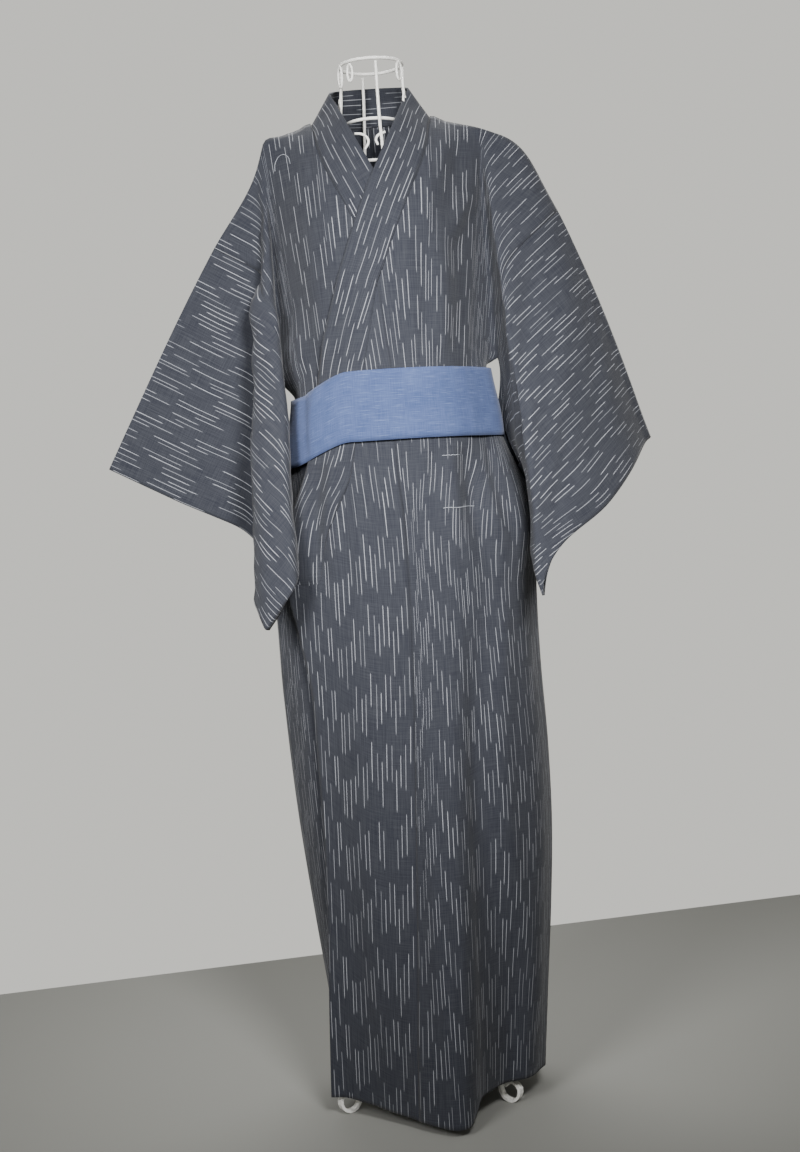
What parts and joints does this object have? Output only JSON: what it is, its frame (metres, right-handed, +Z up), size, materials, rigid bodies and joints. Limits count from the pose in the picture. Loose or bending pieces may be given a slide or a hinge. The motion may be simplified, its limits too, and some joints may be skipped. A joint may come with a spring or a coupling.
{
  "type": "yukata robe on wire dress form",
  "caption": "Charcoal cotton yukata with fine broken white stripes and a plain slate blue belt, wrapped on a white wire dress form with scrolled feet",
  "frame": {"origin": "on the floor, at the middle of the whole object seen from above", "axes": "+Z up, -Y the way the front looks, +X the wearer's left"},
  "size_m": [0.813, 0.3879, 1.5255],
  "materials": {
    "charcoal_cotton": "matte",
    "slate_blue_cotton": "matte",
    "white_paint": "satin"
  },
  "bodies": {
    "root": {"arm_chest_back": "white_paint", "arm_chest_front": "white_paint", "arm_chest_left": "white_paint", "arm_chest_right": "white_paint", "arm_hip_back": "white_paint", "arm_hip_front": "white_paint", "arm_hip_left": "white_paint", "arm_hip_right": "white_paint", "arm_waist_back": "white_paint", "arm_waist_front": "white_paint", "arm_waist_left": "white_paint", "arm_waist_right": "white_paint", "back_left": "charcoal_cotton", "back_right": "charcoal_cotton", "belt": "slate_blue_cotton", "collar": "charcoal_cotton", "front_left": "charcoal_cotton", "front_right": "charcoal_cotton", "leg_back": "white_paint", "leg_left": "white_paint", "leg_right": "white_paint", "okumi_left": "charcoal_cotton", "okumi_right": "charcoal_cotton", "over_collar": "charcoal_cotton", "pole": "white_paint", "rib_back": "white_paint", "rib_front": "white_paint", "rib_left": "white_paint", "rib_right": "white_paint", "ring_chest": "white_paint", "ring_collar": "white_paint", "ring_hip": "white_paint", "ring_neck": "white_paint", "ring_throat": "white_paint", "ring_waist": "white_paint", "sleeve_left": "charcoal_cotton", "sleeve_right": "charcoal_cotton"}
  },
  "joints": []
}
